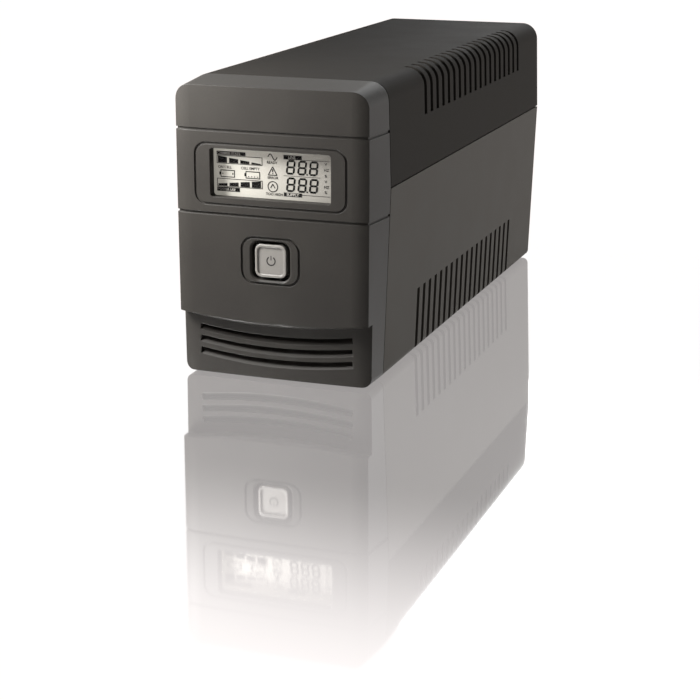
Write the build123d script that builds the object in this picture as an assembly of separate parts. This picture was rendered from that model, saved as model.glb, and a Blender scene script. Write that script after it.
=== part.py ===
from build123d import *
import math
import os

# Line-interactive uninterruptible power supply, desktop tower form.
# Row frame: X across (right seen from the front), Y from front to back, Z up.
# Origin: centre of the bounding box's bottom face. The front faces -Y.

os.makedirs("parts", exist_ok=True)

# Overall size
WIDTH = 101.0
DEPTH = 298.0
HEIGHT = 142.0
Y_FRONT = -DEPTH / 2
Y_REAR = DEPTH / 2

# Moulded shell
WALL = 2.5
Z_BASE = 1.0
Z_PART = 93.0
HALF_PART = WIDTH / 2
HALF_TOP = 49.0
HALF_BASE = 47.0
TOP_RADIUS = 9.0
BASE_RADIUS = 3.0
PART_GAP = 0.7
LIP_HEIGHT = 2.0
LIP_DEPTH = 5.0

# Front bezel
BEZEL_DEPTH = 25.0
SEAM_GAP = 0.6
Y_SEAM = Y_FRONT + BEZEL_DEPTH
FACE_HALF = 47.5
FACE_TOP = 140.0
FACE_TOP_RADIUS = 7.5
FACE_BASE_RADIUS = 4.5
FACE_FLAT_HALF = 40.0
FACE_BOW_RADIUS = 1200.0
FACE_ROLL_RADIUS = 20.0
BAND_GROOVES = (80.2, 119.4)
BAND_GROOVE_WIDTH = 1.3
GROOVE_DEPTH = 0.7

# Arched lower grille of the bezel
PANEL_EDGE_Z = 27.4
PANEL_EDGE_RISE = 4.2
PANEL_EDGE_RADIUS = 2.5
GRILLE_SETBACK = 5.0
LOUVRE_HALF = 38.5
LOUVRE_RISE = 2.7
LOUVRE_DEPTH = 4.0
LOUVRES = ((22.1, 18.7), (16.5, 12.7), (10.6, 6.7))
Y_GRILLE = Y_FRONT + GRILLE_SETBACK

# Display window
WINDOW_Z = 99.6
WINDOW_WIDTH = 60.0
WINDOW_HEIGHT = 23.0
WINDOW_RECESS = 5.0
WINDOW_RIM = 2.2
DISPLAY_FRAME_WIDTH = 76.0
DISPLAY_FRAME_HEIGHT = 29.6
DISPLAY_FRAME_Z = 99.0
Y_LENS = Y_FRONT + WINDOW_RECESS
LENS_THICK = 1.5
LCD_THICK = 2.8
LCD_GAP = 0.3
Y_LCD = Y_LENS + LENS_THICK + LCD_GAP
DISPLAY_BOARD_Y = -131.0
DISPLAY_BOARD_THICK = 1.6
DISPLAY_BOARD_HALF = 41.0
DISPLAY_BOARD_Z = (47.0, 122.0)
DISPLAY_SCREW_X = 37.0
DISPLAY_SCREW_Z = (51.0, 118.5)

# Power button
BUTTON_Z = 59.5
BUTTON_WIDTH = 15.6
BUTTON_HEIGHT = 15.5
BUTTON_RADIUS = 3.0
BUTTON_CLEARANCE = 0.3
WELL_WIDTH = 19.2
WELL_HEIGHT = 18.5
WELL_RADIUS = 4.2
WELL_DEPTH = 4.5
WELL_CHAMFER = 0.8
WELL_FLOOR = 2.0
PAD_WIDTH = 29.7
PAD_HEIGHT = 22.8
PAD_RADIUS = 6.5
Y_WELL = Y_FRONT + WELL_DEPTH
SWITCH_SIDE = 8.0
SWITCH_DEPTH = 7.5
SWITCH_FRONT = DISPLAY_BOARD_Y - SWITCH_DEPTH
PLUNGER_REACH = 3.0
CAP_SET_BACK = 0.2
CAP_DISH_DEPTH = 0.7
CAP_RIM_WIDTH = 1.3
CAP_HOLLOW = 2.6
CAP_FLANGE = 1.4
STEM_RADIUS = 2.0
SPRING_WIRE = 0.25
SPRING_RADIUS = 3.1
SPRING_TURNS = 5
SPRING_GAP = 0.1

# Vent slots
SLOT_COUNT = 19
SLOT_WIDTH = 4.0
CASE_SLOT_Y = (-73.6, 96.8)
CASE_SLOT_TOP = 33.4
CASE_SLOT_INNER_X = 41.0
COVER_SLOT_Y = (-69.3, 103.7)
COVER_SLOT_BASE = 119.5

# Fasteners
PILLAR_X = 38.5
PILLAR_Y = (-112.0, 132.0)
PILLAR_RADIUS = 4.2
PILLAR_SEAT_Z = 86.0
FOOT_X = 36.0
FOOT_Y = (-92.0, 112.0)
FOOT_RADIUS = 6.0
FOOT_TOP = 2.6

# Rear panel and its sockets
PANEL_RECESS = 1.5
PANEL_THICK = 2.5
Y_PANEL = Y_REAR - PANEL_RECESS
Y_PANEL_INNER = Y_PANEL - PANEL_THICK
SOCKET_X = 17.8
OUTLET_Z = (25.0, 55.0)
INLET_Z = 101.0
FUSE_Z = 81.5
JACK_Z = 84.0
USB_Z = 104.0
PANEL_SCREWS = ((40.0, 12.0), (38.5, 127.0))
OUTLET_CUT = (31.6, 24.6)
OUTLET_FLANGE = (35.0, 28.0)
OUTLET_OUTER = (28.2, 20.6, 6.0)
OUTLET_CORE = (24.0, 16.4, 4.8)
OUTLET_BACK = Y_REAR - 24.0
OUTLET_FLOOR = Y_REAR - 17.5
INLET_CAVITY = (24.4, 16.6, 4.8)
INLET_WIDTH = 28.0
INLET_BACK = Y_REAR - 24.0
INLET_FLOOR = Y_REAR - 17.0
INLET_SPAN_Z = (75.0, 112.0)
BLADES = ((-7.0, -2.0), (7.0, -2.0), (0.0, 2.0))
FUSE_SLOT = (24.4, 9.0)
FUSE_DEPTH = 21.0
FUSE_Y = Y_REAR - 12.0
FUSE_RADIUS = 2.6
FUSE_LENGTH = 20.0
JACK_BODY = (31.0, 14.4)
JACK_BACK = Y_REAR - 17.0
JACK_OFFSETS = (-7.4, 7.4)
JACK_OPENING = (11.9, 6.9)
JACK_DEPTH = 13.0
USB_BODY = (12.0, 11.0)
USB_BACK = Y_REAR - 17.0

# Sealed lead-acid battery, 12 V 7 Ah standard case
BATTERY_LENGTH = 151.0
BATTERY_WIDTH = 65.0
BATTERY_HEIGHT = 94.0
BATTERY_LID = 8.0
BATTERY_Y = -117.0
BATTERY_Z = 5.5
PAD_THICK = 2.5
TERMINAL_X = 22.0
TERMINAL_Y = BATTERY_Y + BATTERY_LENGTH - 11.0
TERMINAL_TOP = BATTERY_Z + BATTERY_HEIGHT + 5.0

# Transformer
CORE_LENGTH = 78.0
CORE_HEIGHT = 65.0
CORE_STACK = 48.0
CORE_LIMB = 26.0
CORE_WINDOW = 39.0
CORE_Y = 75.0
CORE_Z = 7.0
FRAME_THICK = 1.5
CORE_FOOT_X = 30.0
CORE_FOOT_Y = 34.0
BOBBIN_WALL = 1.2
COIL_REACH_X = 13.0

# Main circuit board
BOARD_Y = (38.0, 120.0)
BOARD_HALF = 41.0
BOARD_Z = 84.0
BOARD_THICK = 1.6
BOARD_POSTS_X = 38.0
BOARD_POSTS_Y = (42.0, 116.0)
BOARD_TOP = BOARD_Z + BOARD_THICK
HEADER_HEIGHT = 7.0
SINK_X = (-26.0, -8.0)
SINK_Y = (54.0, 88.0)
SINK_HEIGHT = 34.0
RELAY_SIZE = (15.0, 18.5, 15.5)
RELAY_Y = (64.0, 84.0, 104.0)
RELAY_X = 24.0
CAPS = ((-32.0, 97.0), (-19.0, 97.0), (-6.0, 97.0))
CHOKE_AT = (8.0, 70.0)
CHIP_AT = (28.0, 48.0)
BUZZER_AT = (7.0, 92.0)
NEGATIVE_HEADER = (-14.0, 44.5)
RIBBON_HEADER = (0.0, 44.5)
POSITIVE_HEADER = (14.0, 44.5)


# ---------------------------------------------------------------- helpers

def block(x, y, z):
    """Box between the (low, high) pairs x, y and z."""
    size = [high - low for low, high in (x, y, z)]
    middle = [(low + high) / 2 for low, high in (x, y, z)]
    return Pos(*middle) * Box(*size)


def rod_z(x, y, z0, z1, radius):
    return Pos(x, y, (z0 + z1) / 2) * Cylinder(radius, z1 - z0)


def rod_y(x, z, y0, y1, radius):
    return Pos(x, (y0 + y1) / 2, z) * Rot(90, 0, 0) * Cylinder(radius, y1 - y0)


def rod_x(y, z, x0, x1, radius):
    return Pos((x0 + x1) / 2, y, z) * Rot(0, 90, 0) * Cylinder(radius, x1 - x0)


def across(y, x=0.0, z=0.0):
    """Workplane facing the front at depth y, with local axes along X and Z."""
    return Plane(origin=(x, y, z), x_dir=(1, 0, 0), z_dir=(0, -1, 0))


def bar(face, y0, y1):
    """Solid from depth y0 back to y1 with a face drawn in local X and Z."""
    return extrude(across(y0) * face, amount=y0 - y1)


def rounded_bar(x, z, width, height, radius, y0, y1):
    return bar(Pos(x, z) * RectangleRounded(width, height, radius), y0, y1)


def ring_bar(outer, inner, y0, y1):
    """Rounded tube along Y; outer and inner are (x, z, width, height, radius)."""
    return rounded_bar(*outer, y0, y1) - rounded_bar(*inner, y0 - 1, y1 + 1)


def save(shape, node):
    export_step(Part(shape) if isinstance(shape, Solid) else shape, f"parts/{node}.step")


def save_group(solids, node):
    """Write separate solids of one kind into one node."""
    export_step(Compound(children=[Part(solid.wrapped) for solid in solids]), f"parts/{node}.step")


def stations(span, count):
    low, high = span
    return [low + (high - low) * index / (count - 1) for index in range(count)]


def mirrored(solid):
    return mirror(solid, about=Plane.YZ)


# ---------------------------------------------------------------- shell sections

def section(inset=0.0, base=(HALF_BASE, Z_BASE), part=HALF_PART, top=(HALF_TOP, HEIGHT),
            radii=(BASE_RADIUS, TOP_RADIUS)):
    """Six-sided drafted section with rounded top and bottom corners."""
    half_base, z_base = base[0] - inset, base[1] + inset
    half_top, z_top = top[0] - inset, top[1] - inset
    half_part = part - inset
    corners = [(half_base, z_base), (half_part, Z_PART), (half_top, z_top),
               (-half_top, z_top), (-half_part, Z_PART), (-half_base, z_base)]
    face = make_face(Polyline(*corners, close=True))
    base_corners = [v for v in face.vertices() if v.Y < z_base + 1]
    face = fillet(base_corners, max(radii[0] - inset, 0.6))
    top_corners = [v for v in face.vertices() if v.Y > z_top - 0.001]
    return fillet(top_corners, max(radii[1] - inset, 0.6))


def hull(inset, y0, y1):
    return bar(section(inset), y0, y1)


def slab(z0, z1):
    return block((-WIDTH, WIDTH), (-DEPTH, DEPTH), (z0, z1))


# ---------------------------------------------------------------- covers

def screw_boss(x, z, wall_x):
    """Rear screw boss with the gusset that ties it to the side wall."""
    side = math.copysign(1, x)
    low, high = sorted((x, side * wall_x))
    boss = rod_y(x, z, Y_PANEL_INNER - 8, Y_PANEL_INNER, 3.2)
    boss += block((low, high), (Y_PANEL_INNER - 8, Y_PANEL_INNER), (z - 1.5, z + 1.5))
    return boss - rod_y(x, z, Y_PANEL_INNER - 7, Y_PANEL_INNER + 1, 1.2)


def panel_stop():
    """Rib inside the rear rim that the rear panel rests against."""
    y0 = Y_PANEL_INNER - 1.6
    return hull(WALL - 0.5, y0, Y_PANEL_INNER) - hull(WALL + 2.0, y0 - 1, Y_PANEL_INNER + 1)


def pad_places():
    """Centres of the foam pads between the cover's ribs and the battery's lid."""
    return [(x, y) for x in (-19.0, 19.0) for y in (-60.0, 0.0)]


def cover_slot(y):
    """Vent slot over the rounded edge, running out into the top surface."""
    outline = [(55, COVER_SLOT_BASE), (44.5, COVER_SLOT_BASE), (44.5, 131),
               (43.2, 136.2), (38.5, HEIGHT + 0.2), (38.5, HEIGHT + 8), (55, HEIGHT + 8)]
    face = make_face(Polyline(*outline, close=True))
    return bar(face, y - SLOT_WIDTH / 2, y + SLOT_WIDTH / 2)


def top_cover():
    y0 = Y_SEAM + SEAM_GAP / 2
    z0 = Z_PART + PART_GAP / 2
    cover = hull(0, y0, Y_REAR) - hull(WALL, y0 - 1, Y_REAR + 1)
    rebate = hull(1.3, y0 - 1, Y_REAR + 1) & slab(0, z0 + LIP_HEIGHT)
    cover = (cover + panel_stop()) & slab(z0, HEIGHT + 1)
    cover -= rebate
    roof = HEIGHT - WALL / 2
    for x in (-PILLAR_X, PILLAR_X):
        for y in PILLAR_Y:
            cover += rod_z(x, y, z0, roof, PILLAR_RADIUS)
            cover -= rod_z(x, y, z0 - 1, z0 + 22, 1.2)
    for x, y in pad_places():
        cover += block((x - 11, x + 11), (y - 1, y + 1), (BATTERY_Z + BATTERY_HEIGHT + PAD_THICK, roof))
    x, z = PANEL_SCREWS[1]
    cover += screw_boss(x, z, 48) + screw_boss(-x, z, 48)
    for y in stations(COVER_SLOT_Y, SLOT_COUNT):
        cutter = cover_slot(y)
        cover -= cutter
        cover -= mirrored(cutter)
    return cover


def bottom_case():
    y0 = Y_SEAM + SEAM_GAP / 2
    z1 = Z_PART - PART_GAP / 2
    case = hull(0, y0, Y_REAR) - hull(WALL, y0 - 1, Y_REAR + 1)
    case = (case + panel_stop()) & slab(0, z1)
    lip = hull(1.4, y0, Y_REAR) - hull(WALL, y0 - 1, Y_REAR + 1)
    case += lip & slab(z1 - 0.5, z1 + LIP_HEIGHT)
    floor = Z_BASE + WALL
    for x in (-PILLAR_X, PILLAR_X):
        for y in PILLAR_Y:
            case += rod_z(x, y, floor - 1, z1, PILLAR_RADIUS)
            case -= rod_z(x, y, 0, PILLAR_SEAT_Z, 3.1)
            case -= rod_z(x, y, 0, z1 + 1, 1.8)
    for x in (-BOARD_POSTS_X, BOARD_POSTS_X):
        for y in BOARD_POSTS_Y:
            case += rod_z(x, y, floor - 1, BOARD_Z, 3.0)
            case -= rod_z(x, y, BOARD_Z - 10, BOARD_Z + 1, 1.2)
    case += battery_fence() + core_seats()
    x, z = PANEL_SCREWS[0]
    case += screw_boss(x, z, 45.5) + screw_boss(-x, z, 45.5)
    for x in (-FOOT_X, FOOT_X):
        for y in FOOT_Y:
            case -= rod_z(x, y, 0, FOOT_TOP, FOOT_RADIUS + 0.2)
    for y in stations(CASE_SLOT_Y, SLOT_COUNT):
        cutter = block((CASE_SLOT_INNER_X, 55), (y - SLOT_WIDTH / 2, y + SLOT_WIDTH / 2),
                       (-1, CASE_SLOT_TOP))
        case -= cutter
        case -= mirrored(cutter)
    return case


def battery_fence():
    """Corner ribs and floor rails that locate the battery."""
    floor = Z_BASE + WALL
    gap = 0.4
    x = BATTERY_WIDTH / 2 + gap
    y0, y1 = BATTERY_Y - gap, BATTERY_Y + BATTERY_LENGTH + gap
    fence = block((-20, -16), (y0 + 8, y1 - 8), (floor - 1, BATTERY_Z))
    fence += block((16, 20), (y0 + 8, y1 - 8), (floor - 1, BATTERY_Z))
    for side in (-1, 1):
        inner, outer = sorted((side * (x - 12), side * (x + 1.6)))
        wall = sorted((side * x, side * (x + 1.6)))
        fence += block((inner, outer), (y1, y1 + 1.6), (floor - 1, 20))
        fence += block(wall, (y1 - 14, y1 + 1.6), (floor - 1, 20))
        fence += block(wall, (y0 + 12, y0 + 30), (floor - 1, 20))
    fence += block((-24, 24), (y0 - 1.2, y0), (floor - 1, 16))
    return fence


def core_seats():
    """Raised seats under the transformer's feet, with screw holes."""
    floor = Z_BASE + WALL
    seats = None
    for x in (-CORE_FOOT_X, CORE_FOOT_X):
        for y in (CORE_Y - CORE_FOOT_Y, CORE_Y + CORE_FOOT_Y):
            seat = rod_z(x, y, floor - 1, CORE_Z - FRAME_THICK, 4.5)
            seat -= rod_z(x, y, floor + 0.2, CORE_Z, 1.5)
            seats = seat if seats is None else seats + seat
    return seats


# ---------------------------------------------------------------- front bezel

def face_plan(inset):
    """Plan outline of the bezel: bowed front that rolls back at both edges."""
    flat = FACE_FLAT_HALF
    bow = FACE_BOW_RADIUS
    start = math.asin(flat / bow)
    y_flat = Y_FRONT + bow - bow * math.cos(start)
    roll = FACE_ROLL_RADIUS
    reach = HALF_PART + 1.0 - flat
    turn = math.asin(math.sin(start) + reach / roll)
    x_end = flat + roll * (math.sin(turn) - math.sin(start))
    y_end = y_flat + roll * (math.cos(start) - math.cos(turn))
    mid = (start + turn) / 2
    x_mid = flat + roll * (math.sin(mid) - math.sin(start))
    y_mid = y_flat + roll * (math.cos(start) - math.cos(mid))
    front = ThreePointArc((-flat, y_flat), (0, Y_FRONT), (flat, y_flat))
    right = ThreePointArc((flat, y_flat), (x_mid, y_mid), (x_end, y_end))
    left = ThreePointArc((-x_end, y_end), (-x_mid, y_mid), (-flat, y_flat))
    back = Polyline((x_end, y_end), (x_end, 0), (-x_end, 0), (-x_end, y_end))
    return Pos(0, inset) * make_face(front + right + left + back)


def bezel_body(inset, y_back):
    """Bezel envelope moved in by inset: flared sides, sloping top, bowed front."""
    front = section(inset, (FACE_HALF, Z_BASE), FACE_HALF, (FACE_HALF, FACE_TOP),
                    (FACE_BASE_RADIUS, FACE_TOP_RADIUS))
    back = section(inset)
    flare = loft([across(Y_FRONT) * front, across(Y_SEAM) * back], ruled=True)
    flare &= block((-WIDTH, WIDTH), (-DEPTH, y_back), (-1, HEIGHT + 1))
    return flare & extrude(face_plan(inset), amount=HEIGHT + 2)


def arched(face, z, half, rise):
    """Cutter swept along an arch that is lowest at z and rises by rise at X = half."""
    radius = (half ** 2 + rise ** 2) / (2 * rise)
    angle = math.degrees(math.asin(half / radius))
    axis = Axis((0, 0, z + radius), (0, 1, 0))
    profile = Plane(origin=(0, 0, 0), x_dir=(0, 1, 0), z_dir=(1, 0, 0)) * face
    return revolve(profile.rotate(axis, -angle), axis, 2 * angle)


def grille_cut():
    """Space in front of the set-back lower section, under the panel's rounded edge."""
    z, radius = PANEL_EDGE_Z, PANEL_EDGE_RADIUS
    y_out, y_deep = Y_FRONT - 8, Y_GRILLE + 8
    bend = radius * math.sqrt(0.5)
    edge = ThreePointArc((Y_FRONT, z + radius), (Y_FRONT + radius - bend, z + radius - bend),
                         (Y_FRONT + radius, z))
    rest = Polyline((Y_FRONT + radius, z), (y_deep, z), (y_deep, z - 45), (y_out, z - 45),
                    (y_out, z + radius), (Y_FRONT, z + radius))
    side = FACE_HALF * 1.15
    cutter = arched(make_face(edge + rest), z, side, PANEL_EDGE_RISE * (side / FACE_HALF) ** 2)
    return cutter - Pos(0, 0, -20) * extrude(face_plan(GRILLE_SETBACK), amount=HEIGHT)


def louvre_cut(z_top, z_low):
    """Blind groove: deep under its top edge, with a floor that slopes out to the lip."""
    y = Y_GRILLE
    outline = Polyline((y - 2, z_top), (y + LOUVRE_DEPTH, z_top), (y + LOUVRE_DEPTH, z_top - 0.8),
                       (y, z_low), (y - 2, z_low), close=True)
    return arched(make_face(outline), z_top, LOUVRE_HALF, LOUVRE_RISE)


def groove(tool, depth):
    """Part of a cutter that goes no deeper than depth into the bezel."""
    return tool - bezel_body(depth, Y_SEAM)


def front_bezel():
    y1 = Y_SEAM - SEAM_GAP / 2
    cavity = bezel_body(WALL, Y_SEAM + 1)
    cavity -= block((-WIDTH, WIDTH), (-DEPTH, Y_GRILLE + LOUVRE_DEPTH + WALL), (0, 33.5))
    bezel = bezel_body(0, y1) - cavity
    lip = hull(WALL + 0.15, Y_SEAM - 6, Y_SEAM + LIP_DEPTH) - hull(WALL + 1.5, Y_SEAM - 7, Y_SEAM + 9)
    bezel += lip
    window = (0, WINDOW_Z, WINDOW_WIDTH, WINDOW_HEIGHT, 1.5)
    frame = (0, WINDOW_Z, WINDOW_WIDTH + 2 * WINDOW_RIM, WINDOW_HEIGHT + 2 * WINDOW_RIM, 2.0)
    bezel += rounded_bar(*frame, Y_FRONT + 1.5, Y_LENS)
    bezel -= rounded_bar(*window, Y_FRONT - 1, Y_LENS + 1)
    boss = (0, BUTTON_Z, WELL_WIDTH + 3, WELL_HEIGHT + 3, WELL_RADIUS + 1)
    bezel += rounded_bar(*boss, Y_FRONT + 1.5, Y_WELL + WELL_FLOOR)
    bezel -= rounded_bar(0, BUTTON_Z, WELL_WIDTH, WELL_HEIGHT, WELL_RADIUS, Y_FRONT - 1, Y_WELL)
    mouth = [across(y, 0, BUTTON_Z) * RectangleRounded(WELL_WIDTH + 2 * grow, WELL_HEIGHT + 2 * grow,
                                                       WELL_RADIUS + grow)
             for y, grow in ((Y_FRONT - 0.2, WELL_CHAMFER + 0.2), (Y_FRONT + WELL_CHAMFER, 0.0))]
    bezel -= loft(mouth, ruled=True)
    gap = 2 * BUTTON_CLEARANCE
    bezel -= rounded_bar(0, BUTTON_Z, BUTTON_WIDTH + gap, BUTTON_HEIGHT + gap, BUTTON_RADIUS,
                         Y_FRONT, Y_WELL + WELL_FLOOR + 1)
    for x in (-DISPLAY_SCREW_X, DISPLAY_SCREW_X):
        for z in DISPLAY_SCREW_Z:
            bezel += rod_y(x, z, Y_FRONT + 2, DISPLAY_BOARD_Y, 3.0)
            bezel -= rod_y(x, z, DISPLAY_BOARD_Y - 9, DISPLAY_BOARD_Y + 1, 1.1)
    bezel -= grille_cut()
    for z_top, z_low in LOUVRES:
        bezel -= louvre_cut(z_top, z_low)
    outline = (0, DISPLAY_FRAME_Z, DISPLAY_FRAME_WIDTH, DISPLAY_FRAME_HEIGHT, 6.0)
    inner = (0, DISPLAY_FRAME_Z, DISPLAY_FRAME_WIDTH - 2.2, DISPLAY_FRAME_HEIGHT - 2.2, 4.9)
    bezel -= groove(ring_bar(outline, inner, Y_FRONT - 1, Y_FRONT + 2), 0.6)
    outline = (0, BUTTON_Z, PAD_WIDTH, PAD_HEIGHT, PAD_RADIUS)
    inner = (0, BUTTON_Z, PAD_WIDTH - 2.2, PAD_HEIGHT - 2.2, PAD_RADIUS - 1.1)
    bezel -= groove(ring_bar(outline, inner, Y_FRONT - 1, Y_FRONT + 2), 0.7)
    for z in BAND_GROOVES:
        half = BAND_GROOVE_WIDTH / 2
        band = block((-WIDTH, WIDTH), (-DEPTH, Y_SEAM), (z - half, z + half))
        bezel -= groove(band, GROOVE_DEPTH)
    return bezel


# ---------------------------------------------------------------- display and power button

def lcd_lens():
    return rounded_bar(0, WINDOW_Z, WINDOW_WIDTH + 3.6, WINDOW_HEIGHT + 3.6, 1.8,
                       Y_LENS, Y_LENS + LENS_THICK)


def lcd_panel():
    return rounded_bar(0, WINDOW_Z, WINDOW_WIDTH + 3, WINDOW_HEIGHT + 3, 0.8, Y_LCD, Y_LCD + LCD_THICK)


def lcd_holder():
    """Moulded frame that carries the glass and the backlight on the display board."""
    width, height = WINDOW_WIDTH + 3, WINDOW_HEIGHT + 3
    holder = rounded_bar(0, WINDOW_Z, width + 3, height + 3, 1.5, Y_LCD + 0.4, DISPLAY_BOARD_Y)
    return holder - rounded_bar(0, WINDOW_Z, width, height, 0.8, Y_LCD, Y_LCD + LCD_THICK)


def display_board():
    y = DISPLAY_BOARD_Y
    z0, z1 = DISPLAY_BOARD_Z
    board = block((-DISPLAY_BOARD_HALF, DISPLAY_BOARD_HALF), (y, y + DISPLAY_BOARD_THICK), (z0, z1))
    for x in (-DISPLAY_SCREW_X, DISPLAY_SCREW_X):
        for z in DISPLAY_SCREW_Z:
            board -= rod_y(x, z, y - 1, y + 3, 1.4)
    return board


def display_board_screws():
    y = DISPLAY_BOARD_Y + DISPLAY_BOARD_THICK
    screws = []
    for x in (-DISPLAY_SCREW_X, DISPLAY_SCREW_X):
        for z in DISPLAY_SCREW_Z:
            screw = rod_y(x, z, y, y + 1.6, 2.6) + rod_y(x, z, y - 8, y, 1.1)
            screws.append(screw - block((x - 1.6, x + 1.6), (y + 0.9, y + 2), (z - 0.3, z + 0.3)))
    return screws


def power_button():
    """Square cap with a dished face, a retaining flange and a central stem."""
    y0 = Y_FRONT + CAP_SET_BACK
    y_flange = Y_WELL + WELL_FLOOR + BUTTON_CLEARANCE
    cap = rounded_bar(0, BUTTON_Z, BUTTON_WIDTH, BUTTON_HEIGHT, BUTTON_RADIUS, y0,
                      y_flange + CAP_FLANGE)
    cap -= rounded_bar(0, BUTTON_Z, BUTTON_WIDTH - 2 * CAP_RIM_WIDTH, BUTTON_HEIGHT - 2 * CAP_RIM_WIDTH,
                       BUTTON_RADIUS - 1.0, y0 - 1, y0 + CAP_DISH_DEPTH)
    rim = [edge for edge in cap.edges() if abs(edge.center().Y - y0) < 0.01]
    cap = fillet(rim, 0.35)
    cap += rounded_bar(0, BUTTON_Z, BUTTON_WIDTH + 3, BUTTON_HEIGHT + 3, BUTTON_RADIUS,
                       y_flange, y_flange + CAP_FLANGE)
    cap -= rounded_bar(0, BUTTON_Z, BUTTON_WIDTH - 3, BUTTON_HEIGHT - 3, 1.5, y0 + CAP_HOLLOW, y_flange + 2)
    return cap + rod_y(0, BUTTON_Z, y0 + CAP_HOLLOW - 0.6, SWITCH_FRONT - PLUNGER_REACH, STEM_RADIUS)


def switch_plunger():
    y0 = SWITCH_FRONT - PLUNGER_REACH
    return block((-1.5, 1.5), (y0, y0 + 5.0), (BUTTON_Z - 1.5, BUTTON_Z + 1.5))


def switch_body():
    half = SWITCH_SIDE / 2
    body = block((-half, half), (SWITCH_FRONT, DISPLAY_BOARD_Y), (BUTTON_Z - half, BUTTON_Z + half))
    hole = 1.5 + BUTTON_CLEARANCE
    return body - block((-hole, hole), (SWITCH_FRONT - 1, SWITCH_FRONT + 5.2),
                        (BUTTON_Z - hole, BUTTON_Z + hole))


def button_spring():
    """Compression spring between the cap and the switch body, round the stem."""
    y0 = Y_FRONT + CAP_SET_BACK + CAP_HOLLOW + SPRING_WIRE + SPRING_GAP
    y1 = SWITCH_FRONT - SPRING_WIRE - SPRING_GAP
    path = Helix(pitch=(y1 - y0) / SPRING_TURNS, height=y1 - y0, radius=SPRING_RADIUS)
    start = Plane(origin=path @ 0, z_dir=path % 0)
    coil = sweep(start * Circle(SPRING_WIRE), path=path, is_frenet=True)
    return Pos(0, y0, BUTTON_Z) * Rot(-90, 0, 0) * coil


# ---------------------------------------------------------------- feet and screws

def rubber_feet():
    return [rod_z(x, y, 0, FOOT_TOP, FOOT_RADIUS) for x in (-FOOT_X, FOOT_X) for y in FOOT_Y]


def case_screws():
    screws = []
    for x in (-PILLAR_X, PILLAR_X):
        for y in PILLAR_Y:
            screw = rod_z(x, y, PILLAR_SEAT_Z - 2.6, PILLAR_SEAT_Z, 2.9)
            screw += rod_z(x, y, PILLAR_SEAT_Z, PILLAR_SEAT_Z + 24, 1.2)
            socket = block((x - 2, x + 2), (y - 0.4, y + 0.4), (PILLAR_SEAT_Z - 3, PILLAR_SEAT_Z - 1.4))
            screws.append(screw - socket - Pos(x, y, 0) * Rot(0, 0, 90) * Pos(-x, -y, 0) * socket)
    return screws


def rear_panel_screws():
    screws = []
    for x, z in [(side * x, z) for side in (-1, 1) for x, z in PANEL_SCREWS]:
        screw = rod_y(x, z, Y_PANEL, Y_PANEL + 1.4, 2.8) + rod_y(x, z, Y_PANEL_INNER - 6, Y_PANEL, 1.2)
        cross = block((x - 1.6, x + 1.6), (Y_PANEL + 0.7, Y_REAR), (z - 0.35, z + 0.35))
        cross += block((x - 0.35, x + 0.35), (Y_PANEL + 0.7, Y_REAR), (z - 1.6, z + 1.6))
        screws.append(screw - cross)
    return screws


# ---------------------------------------------------------------- rear panel and sockets

def socket_face(width, height, corner):
    """Appliance-coupler outline: a rectangle with its two upper corners cut off."""
    half, low, high = width / 2, -height / 2, height / 2
    return make_face(Polyline((-half, low), (half, low), (half, high - corner), (half - corner, high),
                              (-half + corner, high), (-half, high - corner), close=True))


def socket_bar(x, z, size, y0, y1):
    return bar(Pos(x, z) * socket_face(*size), y0, y1)


def outlet_places():
    return [(x, z) for z in reversed(OUTLET_Z) for x in (-SOCKET_X, SOCKET_X)]


def rear_panel():
    panel = hull(WALL + 0.15, Y_PANEL_INNER, Y_PANEL)
    y0, y1 = Y_PANEL_INNER - 1, Y_PANEL + 1
    for x, z in outlet_places():
        panel -= rounded_bar(x, z, *OUTLET_CUT, 1.0, y0, y1)
    inlet_mid = sum(INLET_SPAN_Z) / 2
    panel -= rounded_bar(-SOCKET_X, inlet_mid, INLET_WIDTH, INLET_SPAN_Z[1] - INLET_SPAN_Z[0], 1.0, y0, y1)
    panel -= rounded_bar(SOCKET_X, JACK_Z, *JACK_BODY, 0.5, y0, y1)
    panel -= rounded_bar(SOCKET_X, USB_Z, *USB_BODY, 0.5, y0, y1)
    for x in stations((-24.5, 24.5), 8):
        panel -= rounded_bar(x, 126.0, 3.0, 13.0, 1.4, y0, y1)
    for x, z in [(side * x, z) for side in (-1, 1) for x, z in PANEL_SCREWS]:
        panel -= rod_y(x, z, y0, y1, 1.6)
    return panel


def outlet(x, z):
    """Panel outlet: flange, body, ring-shaped recess and a core with three pin slots."""
    shell = rounded_bar(x, z, *OUTLET_FLANGE, 2.0, Y_PANEL, Y_REAR)
    shell += rounded_bar(x, z, *OUTLET_CUT, 1.0, OUTLET_BACK, Y_PANEL)
    shell -= socket_bar(x, z, OUTLET_OUTER, OUTLET_FLOOR, Y_REAR + 1)
    shell += socket_bar(x, z, OUTLET_CORE, OUTLET_FLOOR - 1, Y_REAR - 0.6)
    for dx, dz in BLADES:
        shell -= block((x + dx - 1.3, x + dx + 1.3), (OUTLET_BACK - 1, Y_REAR + 1),
                       (z + dz - 2.5, z + dz + 2.5))
    return shell


def outlet_contacts():
    """One sprung strip lying along the side of each pin slot, with a solder tail."""
    strips = []
    for x, z in outlet_places():
        for dx, dz in BLADES:
            strips.append(block((x + dx - 1.3, x + dx - 0.8), (OUTLET_BACK - 5, Y_REAR - 4),
                                (z + dz - 2.0, z + dz + 2.0)))
    return strips


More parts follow.
